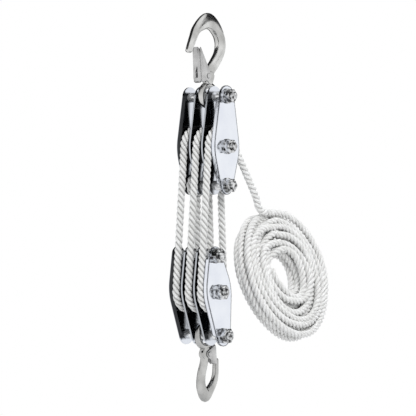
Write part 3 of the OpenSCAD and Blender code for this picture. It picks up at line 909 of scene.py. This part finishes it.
# Painted shade: colours of the plates from dark to bright, and of the rope from the top of a strand to the shaded
# groove beside it
PLATE_SHADE_TONES = [
    (0.0, (0.02, 0.021, 0.023)), (0.2, (0.06, 0.062, 0.066)),
    (0.6, (0.42, 0.44, 0.47)), (1.0, (0.74, 0.77, 0.83)),
]
ROPE_GROOVE_SHADE = [
    (0.0, (0.92, 0.92, 0.91)), (0.4, (0.89, 0.89, 0.88)), (0.65, (0.74, 0.74, 0.73)),
    (0.85, (0.56, 0.55, 0.54)), (1.0, (0.38, 0.37, 0.36)),
]
# The coil's copy of the painted groove shade is lighter
COIL_GROOVE_SHADE = [
    (0.0, (0.97, 0.97, 0.96)), (0.5, (0.95, 0.95, 0.94)),
    (0.75, (0.86, 0.85, 0.84)), (1.0, (0.68, 0.67, 0.66)),
]
# Metals: dark and light colour, roughness, cloud scale, and the bump's strength, scale and distance
MATERIALS = {
    # Plates with painted shade and dark reflections inside the channels, and painted light on their edges
    "upper_cheek_left": shaded_plate("plate_painted_shade_a", UPPER_SHADE_Y, CHEEK_PAINTED_LIGHT),
    "upper_divider_left": shaded_plate("plate_painted_shade_b", UPPER_SHADE_Y, DIVIDER_PAINTED_LIGHT),
    "lower_cheek_left": shaded_plate("plate_painted_shade_c", LOWER_SHADE_Y, CHEEK_PAINTED_LIGHT),
    "lower_divider_left": shaded_plate("plate_painted_shade_d", LOWER_SHADE_Y, DIVIDER_PAINTED_LIGHT),
    "sleeve": metal(
        "sleeve_zinc", (0.84, 0.85, 0.86), (0.95, 0.96, 0.97), (0.12, 0.22), 90, 0.08, 500, 0.0002,
        metallic=0.6,
    ),
    "plate": metal("plate_zinc", (0.77, 0.80, 0.87), (0.85, 0.88, 0.93), (0.05, 0.11), 35, 0.04, 260, 0.0002),
    "hook": metal("forged_zinc", (0.40, 0.40, 0.39), (0.76, 0.76, 0.75), (0.14, 0.26), 45, 0.12, 420, 0.0003),
    # The bottom hook: a darker copy of the top hook's forged zinc, painted shade
    "hook_low": metal(
        "forged_zinc_low_shaded", (0.26, 0.26, 0.255), (0.60, 0.60, 0.59), (0.14, 0.26), 40, 0.12, 420, 0.0003,
    ),
    "latch": metal(
        "latch_zinc", (0.40, 0.40, 0.40), (0.66, 0.66, 0.66), (0.18, 0.30), 70, 0.2, 500, 0.0003,
    ),
    # Nuts and bolts: the hard speckle from near black to light is painted dark reflection and glints
    "fastener": metal(
        "bright_zinc", (0.05, 0.05, 0.052), (0.74, 0.75, 0.76), (0.06, 0.14), 230, 0.25, 600, 0.0005,
        stops=(0.38, 0.60),
    ),
    "sheave": metal(
        "sheave_dark", (0.03, 0.03, 0.032), (0.07, 0.07, 0.074), (0.35, 0.5), 60, 0.1, 400, 0.0003,
    ),
    "bush": metal("bush_brass", (0.50, 0.38, 0.17), (0.66, 0.52, 0.26), (0.25, 0.4), 60, 0.1, 400, 0.0003),
    "rope": rope_material("rope_white", ROPE_GROOVE_SHADE),
    "rope_coil": rope_material("rope_white_loose", COIL_GROOVE_SHADE),
}
# Painted dark reflection along the plates' edges
paint_edge_reflection(MATERIALS["plate"], 0.0030, (0.03, 0.033, 0.04))
# Nodes whose finish isn't named by their slot
FINISH = {n: "sleeve" for n in frame["nodes"] if n.endswith("_sleeves")}
for block in ("upper", "lower"):
    FINISH[f"{block}_cheek_left"] = f"{block}_cheek_left"
    FINISH[f"{block}_divider_left"] = FINISH[f"{block}_divider_right"] = f"{block}_divider_left"
SLOT_OF = {s["node"]: s["material_slot"] for s in frame["record"]["subparts"]}
for node, obj in frame["nodes"].items():
    obj.data.materials.clear()
    obj.data.materials.append(MATERIALS[FINISH.get(node, SLOT_OF[node])])
for piece, _, _ in ROPE.values():
    piece.data.materials.append(MATERIALS["rope_coil" if piece is haul else "rope"])
for piece, finish in METAL:
    piece.data.materials.append(MATERIALS[finish])


# ---------------------------------------------------------------- stage and light
FLOOR_SIZE, FLOOR_DROP = 5.0, 0.35
# Distances from the floor's middle between which it turns white, and the share of white at each
FLOOR_FADE, FLOOR_WHITE = (0.15, 0.9), (0.25, 1.0)
WORLD_COLOR, WORLD_STRENGTH = (0.95, 0.97, 1.0, 1), 0.5
# Black cards: name, one corner, and the two sides from it
CARDS = (
    ("card_left", (-1.3, -0.3, -2.2), (0, 3.3, 0), (0, 0, 3.4)),
    ("card_low", (-1.3, -2.4, -2.6), (0, 2.1, 0), (0, 0, 1.3)),
    ("card_high", (-1.3, -2.4, 0.55), (0, 4.6, 0), (0.7, 0, 1.5)),
    ("card_back_high", (-1.3, 1.6, 0.35), (3.4, 0, 0), (0, -0.6, 1.6)),
)
# Lamps: name, place from the object's middle, size and watts
LAMPS = (
    ("key", (1.6, -0.9, 1.3), (0.9, 1.2), 24),
    ("fill", (-1.4, -1.6, 0.5), (1.4, 1.6), 8),
    ("top", (0.2, 0.3, 2.0), (1.2, 1.2), 12),
)


def shows_background(nt):
    """One for the rays that see the background: from the camera, in metal and through glass."""
    path = add(nt, "ShaderNodeLightPath")
    seen = calc(nt, "MAXIMUM", path.outputs["Is Camera Ray"], path.outputs["Is Glossy Ray"])
    return calc(nt, "MAXIMUM", seen, path.outputs["Is Transmission Ray"])


def mix_shaders(nt, factor, first, second, output):
    mix = add(nt, "ShaderNodeMixShader")
    nt.links.new(factor, mix.inputs["Fac"])
    nt.links.new(first.outputs[0], mix.inputs[1])
    nt.links.new(second.outputs[0], mix.inputs[2])
    nt.links.new(mix.outputs[0], nt.nodes[output].inputs["Surface"])


def floor_material():
    """Pale floor that keeps the shadow under the hoist and turns to white away from it."""
    m, nt, bsdf = new_material("floor_pale")
    bsdf.inputs["Roughness"].default_value = 0.9
    pale = ramp(nt, noise(nt, 3.0, 2.0), [(0.3, (0.90, 0.90, 0.90)), (0.7, (0.93, 0.93, 0.93))])
    nt.links.new(pale, bsdf.inputs["Base Color"])
    white = add(nt, "ShaderNodeEmission")
    white.inputs["Strength"].default_value = 1.0
    coord = add(nt, "ShaderNodeTexCoord")
    far = add(nt, "ShaderNodeVectorMath", operation="LENGTH")
    nt.links.new(coord.outputs["Object"], far.inputs[0])
    fade = remap(nt, far.outputs["Value"], *FLOOR_WHITE, *FLOOR_FADE)
    mix_shaders(nt, calc(nt, "MULTIPLY", fade, shows_background(nt)), bsdf, white, "Material Output")
    return m


def card_material():
    m, nt, bsdf = new_material("card_black")
    bsdf.inputs["Roughness"].default_value = 0.9
    black = ramp(nt, noise(nt, 2.0, 4.0), [(0.3, (0.010, 0.010, 0.011)), (0.7, (0.016, 0.016, 0.017))])
    nt.links.new(black, bsdf.inputs["Base Color"])
    return m


def dark_card(name, corner, across, up, material):
    """A black card outside the camera's view, which only polished metal shows."""
    a, b, c = Vector(corner), Vector(across), Vector(up)
    card = new_mesh(name, [a, a + b, a + b + c, a + c], [(0, 1, 2, 3)], flat=(0,))
    card.data.materials.append(material)
    card.visible_camera = card.visible_diffuse = card.visible_shadow = False


def make_floor():
    bpy.ops.mesh.primitive_plane_add(size=FLOOR_SIZE, location=(0, 0, CAD_BOX[0].z - FLOOR_DROP))
    floor = bpy.context.object
    floor.name = "floor"
    floor.data.materials.append(floor_material())


def make_world():
    """A white background, and a weaker light from all round on everything that isn't polished."""
    world = bpy.data.worlds.new("world")
    bpy.context.scene.world = world
    world.use_nodes = True
    nt = world.node_tree
    light = nt.nodes["Background"]
    light.inputs["Color"].default_value = WORLD_COLOR
    light.inputs["Strength"].default_value = WORLD_STRENGTH
    white = add(nt, "ShaderNodeBackground")
    white.inputs["Color"].default_value = (1, 1, 1, 1)
    white.inputs["Strength"].default_value = 1.0
    mix_shaders(nt, shows_background(nt), light, white, "World Output")


def area_light(name, at, target, size, watts):
    data = bpy.data.lights.new(name, "AREA")
    data.shape, data.energy = "RECTANGLE", watts
    data.size, data.size_y = size
    o = bpy.data.objects.new(name, data)
    o.location = at
    o.rotation_mode = "QUATERNION"
    o.rotation_quaternion = (target - at).to_track_quat("-Z", "Y")
    o.visible_glossy = False
    bpy.context.scene.collection.objects.link(o)


make_floor()
make_world()
card_black = card_material()
for name, corner, across, up in CARDS:
    dark_card(name, corner, across, up, card_black)
MIDDLE = (CAD_BOX[0] + CAD_BOX[1]) / 2
for name, place, size, watts in LAMPS:
    area_light(name, MIDDLE + Vector(place), MIDDLE, size, watts)
bpy.context.scene.view_settings.view_transform = "Standard"


# ---------------------------------------------------------------- image points
# How far the middle of the bottom tip's visible face lies from the hook's own plane, in millimetres
BOTTOM_TIP_X = 4.5


def shown_xy(o):
    """Where a piece's finished vertices show."""
    dg = bpy.context.evaluated_depsgraph_get()
    e = o.evaluated_get(dg)
    me = e.to_mesh()
    out = [to_image(e.matrix_world @ v.co) for v in me.vertices]
    e.to_mesh_clear()
    return np.array(out)


def write_points():
    """Works out where the parts, the nuts, the hook tips, the top latch and the bottom hook show in the image."""
    body = [o for n, o in frame["nodes"].items() if SLOT_OF[n] != "rope"]
    allxy = np.concatenate([shown_xy(o) for o in body])
    for name in POINTS:
        if name.endswith("_nut"):
            xy = shown_xy(frame["nodes"][name])
    for kind, bow, x in (("top", TOP_BOW, 0.0), ("bottom", BOTTOM_BOW, BOTTOM_TIP_X)):
        name = f"{kind}_hook_tip"
        tip = to_image(hook_place(kind)(x, bow[-1][0], BOW_BASE + bow[-1][1]))
    hooks = {o.name: o for o, _ in METAL}
    xy = shown_xy(hooks["top_latch_folded"])
    x, y = POINTS["top_latch_top"]
    x, y = POINTS["top_latch_foot"]
    xy = shown_xy(hooks["bottom_hook_forged"])


write_points()
